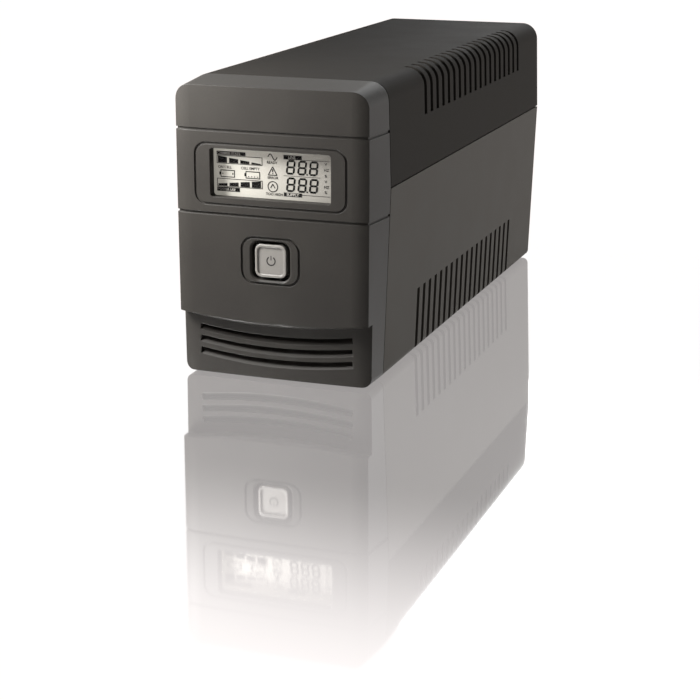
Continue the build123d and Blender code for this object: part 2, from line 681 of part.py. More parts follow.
def inlet_housing():
    x = -SOCKET_X
    z_mid = sum(INLET_SPAN_Z) / 2
    span = INLET_SPAN_Z[1] - INLET_SPAN_Z[0]
    body = rounded_bar(x, z_mid, INLET_WIDTH + 3, span + 3, 2.0, Y_PANEL, Y_REAR)
    body += rounded_bar(x, z_mid, INLET_WIDTH, span, 1.0, INLET_BACK, Y_PANEL)
    body -= socket_bar(x, INLET_Z, INLET_CAVITY, INLET_FLOOR, Y_REAR + 1)
    for dx, dz in BLADES:
        body -= block((x + dx - 1, x + dx + 1), (INLET_BACK - 1, INLET_FLOOR + 1),
                      (INLET_Z + dz - 2, INLET_Z + dz + 2))
    return body - rounded_bar(x, FUSE_Z, *FUSE_SLOT, 0.8, Y_REAR - FUSE_DEPTH - 0.6, Y_REAR + 1)


def inlet_pins():
    x = -SOCKET_X
    return [block((x + dx - 1, x + dx + 1), (INLET_BACK - 5, Y_REAR - 2.5),
                  (INLET_Z + dz - 2, INLET_Z + dz + 2)) for dx, dz in BLADES]


def fuse_drawer():
    """Drawer with a cross pocket for the fuse and a finger notch in its front."""
    x = -SOCKET_X
    width, height = FUSE_SLOT[0] - 0.6, FUSE_SLOT[1] - 0.6
    drawer = rounded_bar(x, FUSE_Z, width, height, 0.6, Y_REAR - FUSE_DEPTH, Y_REAR - 0.1)
    half = FUSE_LENGTH / 2 + 0.3
    pocket = FUSE_RADIUS + 0.3
    drawer -= block((x - half, x + half), (FUSE_Y - pocket, FUSE_Y + pocket),
                    (FUSE_Z - pocket, FUSE_Z + height))
    return drawer - block((x - 4, x + 4), (Y_REAR - 1.2, Y_REAR + 1), (FUSE_Z + 1.6, FUSE_Z + height))


def fuse_glass():
    x = -SOCKET_X
    return rod_x(FUSE_Y, FUSE_Z, x - FUSE_LENGTH / 2 + 5, x + FUSE_LENGTH / 2 - 5, FUSE_RADIUS - 0.2)


def fuse_caps():
    x = -SOCKET_X
    half = FUSE_LENGTH / 2
    return [rod_x(FUSE_Y, FUSE_Z, x - half, x - half + 5, FUSE_RADIUS),
            rod_x(FUSE_Y, FUSE_Z, x + half - 5, x + half, FUSE_RADIUS)]


def phone_jacks():
    """Double modular jack: two openings with a stepped latch notch under each."""
    body = rounded_bar(SOCKET_X, JACK_Z, *JACK_BODY, 0.5, JACK_BACK, Y_REAR - 0.3)
    width, height = JACK_OPENING
    for offset in JACK_OFFSETS:
        x = SOCKET_X + offset
        y = (Y_REAR - JACK_DEPTH, Y_REAR + 1)
        body -= block((x - width / 2, x + width / 2), y, (JACK_Z - 2.4, JACK_Z - 2.4 + height))
        body -= block((x - 3.0, x + 3.0), y, (JACK_Z - 4.0, JACK_Z - 2.0))
        body -= block((x - 1.6, x + 1.6), y, (JACK_Z - 5.4, JACK_Z - 3.8))
    return body


def jack_contacts():
    """Eight slanting contact wires hanging from the roof of each jack opening."""
    wires = []
    z_roof = JACK_Z - 2.4 + JACK_OPENING[1]
    for offset in JACK_OFFSETS:
        for index in range(8):
            x = SOCKET_X + offset + (index - 3.5) * 1.27
            wire = block((x - 0.2, x + 0.2), (Y_REAR - 12.4, Y_REAR - 5.5), (z_roof - 1.6, z_roof - 1.2))
            wires.append(wire)
    return wires


def usb_shell():
    body = rounded_bar(SOCKET_X, USB_Z, *USB_BODY, 0.5, USB_BACK, Y_REAR - 0.3)
    return body - socket_bar(SOCKET_X, USB_Z, (8.5, 7.8, 1.4), USB_BACK + 2, Y_REAR + 1)


def usb_tongue():
    return block((SOCKET_X - 2.8, SOCKET_X + 2.8), (USB_BACK + 2, Y_REAR - 3), (USB_Z - 1.6, USB_Z + 1.6))


# ---------------------------------------------------------------- battery

def battery_block(z0, z1, inset=0.0):
    half = BATTERY_WIDTH / 2 - inset
    return block((-half, half), (BATTERY_Y + inset, BATTERY_Y + BATTERY_LENGTH - inset), (z0, z1))


def battery_case():
    z1 = BATTERY_Z + BATTERY_HEIGHT - BATTERY_LID
    return battery_block(BATTERY_Z, z1) - battery_block(BATTERY_Z + 2.5, z1 + 1, 2.5)


def battery_cells():
    """Six plate packs standing in a row inside the battery case."""
    z0 = BATTERY_Z + 2.5
    z1 = BATTERY_Z + BATTERY_HEIGHT - BATTERY_LID - 4
    pitch = (BATTERY_LENGTH - 5.0) / 6
    half = BATTERY_WIDTH / 2 - 4
    packs = []
    for index in range(6):
        y = BATTERY_Y + 2.5 + pitch * index
        packs.append(block((-half, half), (y + 1, y + pitch - 1), (z0, z1)))
    return packs


def battery_lid():
    """Lid with vent-cover strip and two terminal wells."""
    z1 = BATTERY_Z + BATTERY_HEIGHT
    lid = battery_block(z1 - BATTERY_LID, z1)
    edges = [edge for edge in lid.edges() if edge.center().Z > z1 - 0.01]
    lid = chamfer(edges, 1.0)
    for x in (-TERMINAL_X, TERMINAL_X):
        lid -= block((x - 6, x + 6), (TERMINAL_Y - 7, TERMINAL_Y + 7), (z1 - 3, z1 + 1))
    return lid - (battery_block(z1 - 0.6, z1 + 1, 12) - battery_block(z1 - 1, z1 + 2, 13))


def battery_terminals():
    z0 = BATTERY_Z + BATTERY_HEIGHT - 3
    return [block((x - 3.2, x + 3.2), (TERMINAL_Y - 0.4, TERMINAL_Y + 0.4), (z0, TERMINAL_TOP))
            for x in (-TERMINAL_X, TERMINAL_X)]


def terminal_connectors():
    """Insulated push-on receptacles on the battery's tabs."""
    z0 = BATTERY_Z + BATTERY_HEIGHT - 2
    z1 = TERMINAL_TOP + 4
    sleeves = []
    for x in (-TERMINAL_X, TERMINAL_X):
        sleeve = block((x - 4.4, x + 4.4), (TERMINAL_Y - 1.6, TERMINAL_Y + 1.6), (z0, z1))
        tab = block((x - 3.2, x + 3.2), (TERMINAL_Y - 0.4, TERMINAL_Y + 0.4), (z0 - 1, TERMINAL_TOP))
        sleeves.append(sleeve - tab)
    return sleeves


def battery_pads():
    z0 = BATTERY_Z + BATTERY_HEIGHT
    return [block((x - 10, x + 10), (y - 5, y + 5), (z0, z0 + PAD_THICK)) for x, y in pad_places()]


# ---------------------------------------------------------------- transformer

def core_centre_z():
    return CORE_Z + CORE_HEIGHT / 2


def transformer_core():
    """Laminated E-I stack with two windows either side of the centre limb."""
    half_stack = CORE_STACK / 2
    y0, y1 = CORE_Y - CORE_LENGTH / 2, CORE_Y + CORE_LENGTH / 2
    core = block((-half_stack, half_stack), (y0, y1), (CORE_Z, CORE_Z + CORE_HEIGHT))
    z = (core_centre_z() - CORE_WINDOW / 2, core_centre_z() + CORE_WINDOW / 2)
    limb = CORE_LIMB / 2
    for side in (-1, 1):
        y = sorted((CORE_Y + side * limb, CORE_Y + side * 2 * limb))
        core -= block((-half_stack - 1, half_stack + 1), y, z)
    return core


def limb_block(dx, dy, height, inner=(0.0, 0.0)):
    """Square ring round the centre limb, dx and dy larger than the limb on each side."""
    z = core_centre_z()
    outer = Pos(0, CORE_Y, z) * Box(CORE_STACK + 2 * dx, CORE_LIMB + 2 * dy, height)
    ix, iy = inner
    return outer - Pos(0, CORE_Y, z) * Box(CORE_STACK + 2 * ix, CORE_LIMB + 2 * iy, height + 1)


def transformer_bobbin():
    height = CORE_WINDOW - 0.6
    gap = 0.2
    bobbin = limb_block(gap + BOBBIN_WALL, gap + BOBBIN_WALL, height, (gap, gap))
    flange = limb_block(COIL_REACH_X + 1, CORE_LIMB / 2 - 0.3, BOBBIN_WALL, (gap, gap))
    shift = (height - BOBBIN_WALL) / 2
    return bobbin + Pos(0, 0, shift) * flange + Pos(0, 0, -shift) * flange


def transformer_windings():
    inner = 0.2 + BOBBIN_WALL
    height = CORE_WINDOW - 0.6 - 2 * BOBBIN_WALL
    coil = limb_block(COIL_REACH_X, CORE_LIMB / 2 - 1.0, height, (inner, inner))
    outer = [edge for edge in coil.edges().filter_by(Axis.Z) if abs(edge.center().X) > CORE_STACK / 2 + 5]
    return fillet(outer, 5.0)


def transformer_frame():
    """Two folded steel feet along the stack's ends, under the outer limbs."""
    feet = []
    for side in (-1, 1):
        y = CORE_Y + side * CORE_FOOT_Y
        foot = block((-CORE_FOOT_X - 4, CORE_FOOT_X + 4), (y - 4, y + 4), (CORE_Z - FRAME_THICK, CORE_Z))
        for x_side in (-1, 1):
            x = sorted((x_side * CORE_STACK / 2, x_side * (CORE_STACK / 2 + FRAME_THICK)))
            foot += block(x, (y - 4, y + 4), (CORE_Z - 0.5, CORE_Z + 14))
            foot -= rod_z(x_side * CORE_FOOT_X, y, 0, CORE_Z + 1, 2.0)
        feet.append(foot)
    return feet


def transformer_bolts():
    bolts = []
    for x in (-CORE_FOOT_X, CORE_FOOT_X):
        for y in (CORE_Y - CORE_FOOT_Y, CORE_Y + CORE_FOOT_Y):
            bolt = rod_z(x, y, CORE_Z, CORE_Z + 2.4, 3.4) + rod_z(x, y, Z_BASE + WALL + 0.4, CORE_Z, 1.5)
            bolts.append(bolt - block((x - 2, x + 2), (y - 0.4, y + 0.4), (CORE_Z + 1.4, CORE_Z + 3)))
    return bolts


# ---------------------------------------------------------------- main board

def main_board():
    board = block((-BOARD_HALF, BOARD_HALF), BOARD_Y, (BOARD_Z, BOARD_TOP))
    for x in (-BOARD_POSTS_X, BOARD_POSTS_X):
        for y in BOARD_POSTS_Y:
            board -= rod_z(x, y, BOARD_Z - 1, BOARD_TOP + 1, 1.4)
    return board


def board_screws():
    screws = []
    for x in (-BOARD_POSTS_X, BOARD_POSTS_X):
        for y in BOARD_POSTS_Y:
            screw = rod_z(x, y, BOARD_TOP, BOARD_TOP + 1.8, 2.7) + rod_z(x, y, BOARD_Z - 9, BOARD_TOP, 1.1)
            screws.append(screw - block((x - 1.7, x + 1.7), (y - 0.35, y + 0.35),
                                        (BOARD_TOP + 1, BOARD_TOP + 2)))
    return screws


def heat_sinks():
    """Two finned aluminium sinks standing back to back across the board."""
    sinks = []
    for x, side in zip(SINK_X, (-1, 1)):
        base = sorted((x, x + side * 3))
        sink = block(base, SINK_Y, (BOARD_TOP, BOARD_TOP + SINK_HEIGHT))
        for y in stations((SINK_Y[0] + 1, SINK_Y[1] - 1), 8):
            fin = sorted((x + side * 2, x + side * 8))
            sink += block(fin, (y - 0.8, y + 0.8), (BOARD_TOP + 2, BOARD_TOP + SINK_HEIGHT))
        sinks.append(sink)
    return sinks


def power_transistors():
    parts = []
    for x, side in zip(SINK_X, (1, -1)):
        for y in (SINK_Y[0] + 9, SINK_Y[1] - 9):
            body = sorted((x, x + side * 4.6))
            parts.append(block(body, (y - 5, y + 5), (BOARD_TOP + 5, BOARD_TOP + 21)))
    return parts


def transistor_legs():
    legs = []
    for x, side in zip(SINK_X, (1, -1)):
        for y in (SINK_Y[0] + 9, SINK_Y[1] - 9):
            for step in (-2.54, 0.0, 2.54):
                middle = x + side * 2.6
                legs.append(block((middle - 0.4, middle + 0.4), (y + step - 0.4, y + step + 0.4),
                                  (BOARD_TOP, BOARD_TOP + 5)))
    return legs


def relays():
    width, length, height = RELAY_SIZE
    boxes = []
    for y in RELAY_Y:
        box = block((RELAY_X - width / 2, RELAY_X + width / 2), (y - length / 2, y + length / 2),
                    (BOARD_TOP, BOARD_TOP + height))
        edges = [edge for edge in box.edges() if edge.center().Z > BOARD_TOP + height - 0.01]
        boxes.append(chamfer(edges, 0.8))
    return boxes


def filter_capacitors():
    cans = []
    for x, y in CAPS:
        can = rod_z(x, y, BOARD_TOP, BOARD_TOP + 25, 5.0)
        edges = [edge for edge in can.edges() if edge.center().Z > BOARD_TOP + 24.9]
        cans.append(fillet(edges, 0.6))
    return cans


def choke():
    return Pos(*CHOKE_AT, BOARD_TOP + 2.7) * Torus(5.0, 2.6)


def buzzer():
    x, y = BUZZER_AT
    body = rod_z(x, y, BOARD_TOP, BOARD_TOP + 9.5, 6.0)
    return body - rod_z(x, y, BOARD_TOP + 8, BOARD_TOP + 10, 1.2)


def control_chip():
    x, y = CHIP_AT
    return block((x - 4, x + 4), (y - 4, y + 4), (BOARD_TOP, BOARD_TOP + 1.7))


def board_headers():
    """Upright sockets that the battery leads and the display ribbon plug into."""
    places = (NEGATIVE_HEADER, RIBBON_HEADER, POSITIVE_HEADER)
    return [block((x - 4.5, x + 4.5), (y - 3, y + 3), (BOARD_TOP, BOARD_TOP + HEADER_HEIGHT))
            for x, y in places]


# ---------------------------------------------------------------- wiring

def lead(points, radii, thickness):
    """Round insulated wire along straight runs joined by tangent arcs."""
    path = FilletPolyline(*points, radius=radii)
    return sweep(Plane(origin=path @ 0, z_dir=path % 0) * Circle(thickness), path=path)


def battery_lead(x, header):
    """Lead that rises from a terminal connector and drops into its header."""
    z = TERMINAL_TOP + 4
    hx, hy = header
    top = z + 14
    points = [(x, TERMINAL_Y, z), (x, TERMINAL_Y, top), (hx, hy, top), (hx, hy, BOARD_TOP + HEADER_HEIGHT)]
    return lead(points, 9.0, 1.6)


def winding_leads():
    """Leads from the bobbin's upper flange to the underside of the main board."""
    z0 = core_centre_z() + CORE_WINDOW / 2 - 0.3
    wires = []
    for side in (-1, 1):
        for y in (CORE_Y - 8, CORE_Y, CORE_Y + 8):
            x = side * (CORE_STACK / 2 + COIL_REACH_X - 3)
            points = [(x, y, z0), (x, y, z0 + 9), (x, y + 4, z0 + 17), (x, y + 4, BOARD_Z)]
            wires.append(lead(points, 5.0, 0.9))
    return wires


def inlet_leads():
    """Leads from the inlet's blades forward and down to the main board."""
    wires = []
    y0 = INLET_BACK - 5
    for dx, dz in BLADES:
        x, z = dx - SOCKET_X, INLET_Z + dz
        wires.append(lead([(x, y0, z), (x, y0 - 11, z), (x, y0 - 11, BOARD_TOP)], 6.0, 1.0))
    return wires


def outlet_leads():
    """Leads from the upper outlets' contacts up to the main board's rear edge."""
    wires = []
    y0 = OUTLET_BACK - 5
    for x in (-SOCKET_X, SOCKET_X):
        for dx, dz in BLADES:
            wx, wz = x + dx - 1.05, OUTLET_Z[1] + dz
            wires.append(lead([(wx, y0, wz), (wx, y0 - 3.2, wz), (wx, y0 - 3.2, BOARD_Z)], 3.0, 0.9))
    return wires


def outlet_links():
    """Strips that join each lower outlet's contact tail to the one above it."""
    strips = []
    y = (OUTLET_BACK - 4.5, OUTLET_BACK - 0.5)
    for x in (-SOCKET_X, SOCKET_X):
        for dx, dz in BLADES:
            side = (x + dx - 1.3, x + dx - 0.8)
            strips.append(block(side, y, (OUTLET_Z[0] + dz + 2, OUTLET_Z[1] + dz - 2)))
    return strips


def display_ribbon():
    """Flat ribbon from the display board over the battery to the main board."""
    x, y_end = RIBBON_HEADER
    y0 = DISPLAY_BOARD_Y + DISPLAY_BOARD_THICK
    z = BATTERY_Z + BATTERY_HEIGHT + 12
    path = FilletPolyline((x, y0, z), (x, y_end, z), (x, y_end, BOARD_TOP + HEADER_HEIGHT), radius=6.0)
    profile = Plane(origin=path @ 0, x_dir=(1, 0, 0), z_dir=path % 0) * Rectangle(7.6, 1.0)
    return sweep(profile, path=path)


# ---------------------------------------------------------------- output

save(top_cover(), "top_cover")
save(bottom_case(), "bottom_case")
save(front_bezel(), "front_bezel")
save(rear_panel(), "rear_panel")
save(lcd_lens(), "lcd_lens")
save(lcd_panel(), "lcd_panel")
save(lcd_holder(), "lcd_holder")
save(display_board(), "display_board")
save_group(display_board_screws(), "display_board_screws")
save(power_button(), "power_button")
save(switch_plunger(), "switch_plunger")
save(switch_body(), "switch_body")
save(button_spring(), "button_spring")
save_group(rubber_feet(), "rubber_feet")
save_group(case_screws(), "case_screws")
save_group(rear_panel_screws(), "rear_panel_screws")
for number, (outlet_x, outlet_z) in enumerate(outlet_places(), start=1):
    save(outlet(outlet_x, outlet_z), f"outlet_{number}")
save_group(outlet_contacts(), "outlet_contacts")
save(inlet_housing(), "inlet_housing")
save_group(inlet_pins(), "inlet_pins")
save(fuse_drawer(), "fuse_drawer")
save(fuse_glass(), "fuse_glass")
save_group(fuse_caps(), "fuse_caps")
save(phone_jacks(), "phone_jacks")
save_group(jack_contacts(), "jack_contacts")
save(usb_shell(), "usb_shell")
save(usb_tongue(), "usb_tongue")
save(battery_case(), "battery_case")
save_group(battery_cells(), "battery_cells")
save(battery_lid(), "battery_lid")
save_group(battery_terminals(), "battery_terminals")
save_group(terminal_connectors(), "terminal_connectors")
save_group(battery_pads(), "battery_pads")
save(transformer_core(), "transformer_core")
save(transformer_bobbin(), "transformer_bobbin")
save(transformer_windings(), "transformer_windings")
save_group(transformer_frame(), "transformer_frame")
save_group(transformer_bolts(), "transformer_bolts")
save(main_board(), "main_board")
save_group(board_screws(), "board_screws")
save_group(heat_sinks(), "heat_sinks")
save_group(power_transistors(), "power_transistors")
save_group(transistor_legs(), "transistor_legs")
save_group(relays(), "relays")
save_group(filter_capacitors(), "filter_capacitors")
save(choke(), "choke")
save(buzzer(), "buzzer")
save(control_chip(), "control_chip")
save_group(board_headers(), "board_headers")
save(battery_lead(-TERMINAL_X, NEGATIVE_HEADER), "negative_lead")
save(battery_lead(TERMINAL_X, POSITIVE_HEADER), "positive_lead")
save_group(winding_leads(), "winding_leads")
save_group(inlet_leads(), "inlet_leads")
save_group(outlet_leads(), "outlet_leads")
save_group(outlet_links(), "outlet_links")
save(display_ribbon(), "display_ribbon")
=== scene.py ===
import math

import bmesh
import bpy
from mathutils import Matrix, Vector


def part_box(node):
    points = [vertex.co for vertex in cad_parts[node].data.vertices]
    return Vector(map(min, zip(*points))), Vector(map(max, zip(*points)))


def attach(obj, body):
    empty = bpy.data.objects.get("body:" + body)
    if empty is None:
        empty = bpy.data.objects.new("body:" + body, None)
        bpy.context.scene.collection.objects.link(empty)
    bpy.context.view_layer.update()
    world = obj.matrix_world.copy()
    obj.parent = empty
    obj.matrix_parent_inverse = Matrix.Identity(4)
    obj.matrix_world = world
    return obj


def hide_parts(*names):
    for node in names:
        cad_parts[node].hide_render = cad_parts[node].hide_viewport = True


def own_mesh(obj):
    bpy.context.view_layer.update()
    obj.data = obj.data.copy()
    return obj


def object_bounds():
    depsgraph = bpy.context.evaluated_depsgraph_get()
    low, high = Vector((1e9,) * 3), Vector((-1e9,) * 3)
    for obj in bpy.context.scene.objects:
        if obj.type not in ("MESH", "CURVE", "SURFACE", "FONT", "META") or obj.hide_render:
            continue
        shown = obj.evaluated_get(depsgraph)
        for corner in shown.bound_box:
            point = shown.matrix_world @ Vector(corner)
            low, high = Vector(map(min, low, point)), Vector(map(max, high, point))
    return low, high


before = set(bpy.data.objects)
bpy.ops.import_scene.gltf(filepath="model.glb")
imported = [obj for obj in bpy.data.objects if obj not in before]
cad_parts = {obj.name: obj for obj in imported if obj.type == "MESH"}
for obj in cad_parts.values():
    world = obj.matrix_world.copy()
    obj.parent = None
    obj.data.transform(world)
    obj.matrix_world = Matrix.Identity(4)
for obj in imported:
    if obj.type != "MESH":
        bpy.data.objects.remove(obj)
cad_low, cad_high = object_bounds()

MM = 0.001

# camera
LENS_MM = 91.62
LENS_SHIFT = -0.05
CAMERA_PLACE = (0.3105, -0.8919, 0.2519)
CAMERA_TURN = 20.05
CAMERA_TILT = 15.17

# lights, each as place, target, size and watts
SOFTBOXES = {
    "key": ((-0.155, -0.24, 0.22), (-0.04, -0.15, 0.11), (0.1, 0.1), 3.3),
    "side": ((1.3, 0.7, 0.3), (0.05, 0.0, 0.05), (0.8, 0.6), 17),
    "overhead": ((0.0, 0.55, 0.36), (0, 0.2, 0.14), (0.3, 0.3), 1.2),
}

# floor: how strongly it mirrors, how far that reaches, and the thin gap under the feet
FLOOR_MIRROR = 0.7
FLOOR_REACH = 0.3
FLOOR_NEAR = 0.06
FLOOR_DROP = 0.0002

# surrounding band of light, by the height and the depth of the direction looked in
BAND_EDGES = (0.15, 0.6)
BAND_FULL = (0.21, 0.46)
BAND_DIM = (0.06, 0.06, 0.06, 1.0)
WHITE = (1.0, 1.0, 1.0, 1.0)
FRONT_FADE = (-0.4, -0.05)
FRONT_STRENGTH = 0.07

# display, power mark and spring, in millimetres
INK_STAND = 0.06
WORDS_STAND = 0.16
CAPITAL_SHARE = 0.7
LETTER_DEPTH = 0.02
LETTER_WEIGHT = 0.03
LINE_WIDTH = 0.42
DISH_DEPTH = 0.7
MARK_RADIUS = 2.05
MARK_WIDTH = 0.6
MARK_THICK = 0.03
SPRING_WIRE = 0.25
SPRING_TURNS = 5


# ---------------------------------------------------------------- materials

def tone(red, green, blue):
    """A colour given as it looks on a screen, 0 to 255, as the linear colour that shaders use."""
    def linear(value):
        value = value / 255
        return value / 12.92 if value <= 0.04045 else ((value + 0.055) / 1.055) ** 2.4
    return (linear(red), linear(green), linear(blue), 1.0)


def start_material(name):
    material = bpy.data.materials.new(name)
    material.use_nodes = True
    tree = material.node_tree
    return material, tree, tree.nodes["Principled BSDF"]


def add(tree, kind, **values):
    """A new node with its sockets set by name."""
    node = tree.nodes.new(kind)
    for socket, value in values.items():
        node.inputs[socket.replace("_", " ")].default_value = value
    return node


def object_point(tree, stretch=(1, 1, 1)):
    """Object coordinates, in metres, squeezed or stretched along each axis."""
    coordinates = tree.nodes.new("ShaderNodeTexCoord")
    mapping = add(tree, "ShaderNodeMapping", Scale=stretch)
    tree.links.new(coordinates.outputs["Object"], mapping.inputs["Vector"])
    return mapping.outputs["Vector"]


def two_tones(tree, factor, dark, light, low=0.3, high=0.7):
    ramp = tree.nodes.new("ShaderNodeValToRGB")
    ramp.color_ramp.elements[0].position = low
    ramp.color_ramp.elements[0].color = dark
    ramp.color_ramp.elements[1].position = high
    ramp.color_ramp.elements[1].color = light
    tree.links.new(factor, ramp.inputs["Fac"])
    return ramp.outputs["Color"]


def spread(tree, factor, low, high):
    """A 0 to 1 pattern turned into values from low to high."""
    node = tree.nodes.new("ShaderNodeMapRange")
    node.inputs["From Min"].default_value = 0.3
    node.inputs["From Max"].default_value = 0.7
    node.inputs["To Min"].default_value = low
    node.inputs["To Max"].default_value = high
    tree.links.new(factor, node.inputs["Value"])
    return node.outputs["Result"]


def surface(name, dark, light, rough, grain=1800, height=0.02, mottle=45, stretch=(1, 1, 1),
            metallic=0.0, specular=0.5, bevel=0.0, coat=0.0):
    """A hard material: cloudy tone, fine grain that dents it, roughness that follows the grain.

    rough is the least and greatest roughness, grain and mottle are noise scales per metre,
    height is the depth of the grain in millimetres and bevel softens its edges, in millimetres."""
    material, tree, shader = start_material(name)
    point = object_point(tree, stretch)
    cloud = add(tree, "ShaderNodeTexNoise", Scale=mottle, Detail=4.0)
    fine = add(tree, "ShaderNodeTexNoise", Scale=grain, Detail=2.0)
    tree.links.new(point, cloud.inputs["Vector"])
    tree.links.new(point, fine.inputs["Vector"])
    both = tree.nodes.new("ShaderNodeMath")
    both.operation = "MULTIPLY_ADD"
    both.inputs[1].default_value = 0.5
    tree.links.new(cloud.outputs["Fac"], both.inputs[0])
    half = tree.nodes.new("ShaderNodeMath")
    half.operation = "MULTIPLY"
    half.inputs[1].default_value = 0.5
    tree.links.new(fine.outputs["Fac"], half.inputs[0])
    tree.links.new(half.outputs["Value"], both.inputs[2])
    colour = two_tones(tree, both.outputs["Value"], dark, light)
    tree.links.new(colour, shader.inputs["Base Color"])
    tree.links.new(spread(tree, both.outputs["Value"], *rough), shader.inputs["Roughness"])
    dents = add(tree, "ShaderNodeBump", Strength=1.0, Distance=height * MM)
    tree.links.new(fine.outputs["Fac"], dents.inputs["Height"])
    if bevel:
        edges = add(tree, "ShaderNodeBevel", Radius=bevel * MM)
        edges.samples = 6
        tree.links.new(edges.outputs["Normal"], dents.inputs["Normal"])
    tree.links.new(dents.outputs["Normal"], shader.inputs["Normal"])
    shader.inputs["Metallic"].default_value = metallic
    shader.inputs["Specular IOR Level"].default_value = specular
    shader.inputs["Coat Weight"].default_value = coat
    return material


def banded(name, dark, light, rough, bands, direction, height, metallic=0.0, distortion=0.6):
    """Stripes across one axis: steel laminations, wound wire or the wires of a ribbon."""
    material, tree, shader = start_material(name)
    point = object_point(tree)
    wave = add(tree, "ShaderNodeTexWave", Scale=bands, Distortion=distortion, Detail=1.0)
    wave.bands_direction = direction
    tree.links.new(point, wave.inputs["Vector"])
    tree.links.new(two_tones(tree, wave.outputs["Fac"], dark, light, 0.1, 0.8),
                   shader.inputs["Base Color"])
    tree.links.new(spread(tree, wave.outputs["Fac"], *rough), shader.inputs["Roughness"])
    dents = add(tree, "ShaderNodeBump", Strength=1.0, Distance=height * MM)
    tree.links.new(wave.outputs["Fac"], dents.inputs["Height"])
    tree.links.new(dents.outputs["Normal"], shader.inputs["Normal"])
    shader.inputs["Metallic"].default_value = metallic
    return material


def clear(name, tint, opacity, rough):
    """Clear moulding or glass that lets the lights through, with faint polishing marks."""
    material, tree, shader = start_material(name)
    marks = add(tree, "ShaderNodeTexNoise", Scale=260.0, Detail=3.0)
    tree.links.new(object_point(tree), marks.inputs["Vector"])
    tree.links.new(spread(tree, marks.outputs["Fac"], *rough), shader.inputs["Roughness"])
    tree.links.new(two_tones(tree, marks.outputs["Fac"], tint, tuple(0.9 * c for c in tint[:3]) + (1,)),
                   shader.inputs["Base Color"])
    shader.inputs["Alpha"].default_value = opacity
    shader.inputs["Specular IOR Level"].default_value = 0.8
    return material


def circuit_board(name):
    """Green solder mask over a grid of raised traces."""
    material, tree, shader = start_material(name)
    point = object_point(tree)
    cells = add(tree, "ShaderNodeTexVoronoi", Scale=330.0)
    cells.distance = "MANHATTAN"
    cells.feature = "F2"
    tree.links.new(point, cells.inputs["Vector"])
    tree.links.new(two_tones(tree, cells.outputs["Distance"], tone(16, 58, 36), tone(34, 92, 58), 0.45, 0.6),
                   shader.inputs["Base Color"])
    tree.links.new(spread(tree, cells.outputs["Distance"], 0.3, 0.42), shader.inputs["Roughness"])
    dents = add(tree, "ShaderNodeBump", Strength=1.0, Distance=0.04 * MM)
    tree.links.new(cells.outputs["Distance"], dents.inputs["Height"])
    tree.links.new(dents.outputs["Normal"], shader.inputs["Normal"])
    return material


def display_film_painted_light(name, left, right, painted_glow):
    """The silvery film behind the segments, with painted light: brighter on the left, falling to darker on
    the right, and a painted glow.
    """
    material, tree, shader = start_material(name)
    low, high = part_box("lcd_lens")
    split = tree.nodes.new("ShaderNodeSeparateXYZ")
    tree.links.new(object_point(tree), split.inputs["Vector"])
    across = tree.nodes.new("ShaderNodeMapRange")
    across.inputs["From Min"].default_value = low.x
    across.inputs["From Max"].default_value = high.x
    tree.links.new(split.outputs["X"], across.inputs["Value"])
    # painted light: the colour runs from the lit left tone to the shaded right tone across the lens
    colour = two_tones(tree, across.outputs["Result"], left, right, 0.1, 0.95)
    tree.links.new(colour, shader.inputs["Base Color"])
    # painted glow: the film also glows in these same tones
    tree.links.new(colour, shader.inputs["Emission Color"])
    shader.inputs["Emission Strength"].default_value = painted_glow
    speckle = add(tree, "ShaderNodeTexNoise", Scale=4000.0, Detail=1.0)
    tree.links.new(object_point(tree), speckle.inputs["Vector"])
    tree.links.new(spread(tree, speckle.outputs["Fac"], 0.42, 0.55), shader.inputs["Roughness"])
    return material


FRONT_PLASTIC = surface("front_plastic", tone(35, 33, 31), tone(40, 38, 35), (0.42, 0.5),
                        specular=0.1, bevel=0.45)
# painted light: the case is a lighter copy of the dark front plastic, standing in for the floor light its
# downward-facing sides catch
CASE_PLASTIC_PAINTED_LIGHT = surface("case_plastic_painted_light", tone(55, 53, 49), tone(61, 58, 54), (0.5, 0.6),
                       specular=0.05, bevel=0.35)
COVER_PLASTIC = surface("cover_plastic", tone(33, 31, 29), tone(38, 36, 33), (0.6, 0.7),
                        specular=0.02, bevel=0.35)

